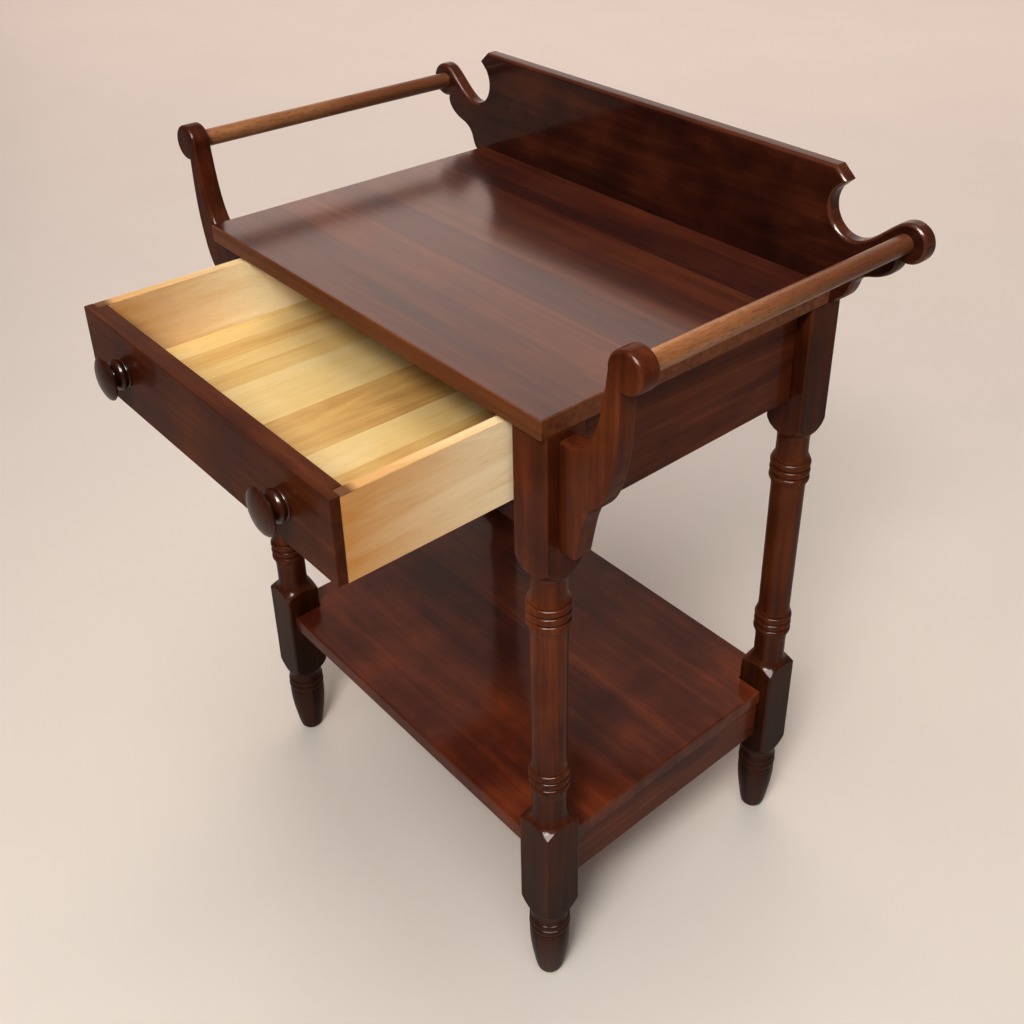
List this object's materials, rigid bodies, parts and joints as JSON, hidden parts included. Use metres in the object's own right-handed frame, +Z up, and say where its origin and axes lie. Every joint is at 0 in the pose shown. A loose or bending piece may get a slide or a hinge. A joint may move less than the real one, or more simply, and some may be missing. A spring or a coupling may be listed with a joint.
{
  "type": "side table",
  "caption": "Small wooden side table with a sliding drawer, turned legs, a lower shelf, a shaped backsplash and a towel bar at each side.",
  "frame": {"origin": "on the floor under the middle of the table's bounding box, with the drawer standing open as at rest", "axes": "+X to the right for someone facing the drawer, +Y from the drawer's front to the back, +Z up"},
  "size_m": [0.731, 0.5918, 0.8575],
  "materials": {
    "stained_cherry": "dark red-brown stain under a glossy clear coat",
    "worn_bar_wood": "worn golden-brown varnish",
    "pale_maple": "clear satin coat, pale and straight-grained",
    "plain_pine": "unfinished, planed",
    "zinc_steel": "zinc plated"
  },
  "bodies": {
    "frame": {"tabletop": "stained_cherry", "backsplash": "stained_cherry", "back_apron": "stained_cherry", "front_rail": "stained_cherry", "shelf": "stained_cherry", "front_left_leg": "stained_cherry", "front_right_leg": "stained_cherry", "back_left_leg": "stained_cherry", "back_right_leg": "stained_cherry", "left_towel_bracket": "stained_cherry", "right_towel_bracket": "stained_cherry", "left_side_apron": "stained_cherry", "right_side_apron": "stained_cherry", "left_stretcher": "stained_cherry", "right_stretcher": "stained_cherry", "left_towel_bar": "worn_bar_wood", "right_towel_bar": "worn_bar_wood", "left_drawer_runner": "plain_pine", "right_drawer_runner": "plain_pine", "left_drawer_guide": "plain_pine", "right_drawer_guide": "plain_pine", "left_drawer_stop": "plain_pine", "right_drawer_stop": "plain_pine", "left_top_cleat": "plain_pine", "right_top_cleat": "plain_pine", "left_bracket_dowel_1": "plain_pine", "left_bracket_dowel_2": "plain_pine", "right_bracket_dowel_1": "plain_pine", "right_bracket_dowel_2": "plain_pine", "left_runner_screw_1": "zinc_steel", "left_runner_screw_2": "zinc_steel", "right_runner_screw_1": "zinc_steel", "right_runner_screw_2": "zinc_steel", "left_top_screw_1": "zinc_steel", "left_top_screw_2": "zinc_steel", "right_top_screw_1": "zinc_steel", "right_top_screw_2": "zinc_steel", "left_shelf_screw_1": "zinc_steel", "left_shelf_screw_2": "zinc_steel", "right_shelf_screw_1": "zinc_steel", "right_shelf_screw_2": "zinc_steel", "backsplash_screw_1": "zinc_steel", "backsplash_screw_2": "zinc_steel", "backsplash_screw_3": "zinc_steel", "backsplash_screw_4": "zinc_steel"},
    "drawer": {"drawer_front": "stained_cherry", "drawer_bottom": "pale_maple", "drawer_back": "pale_maple", "left_drawer_side": "pale_maple", "right_drawer_side": "pale_maple", "left_knob": "stained_cherry", "right_knob": "stained_cherry", "left_knob_screw": "zinc_steel", "right_knob_screw": "zinc_steel"}
  },
  "joints": [
    {"name": "drawer_slide", "type": "slide", "parent": "frame", "child": "drawer", "axis": [0, -1, 0], "range_m": [-0.175, 0.085]}
  ]
}
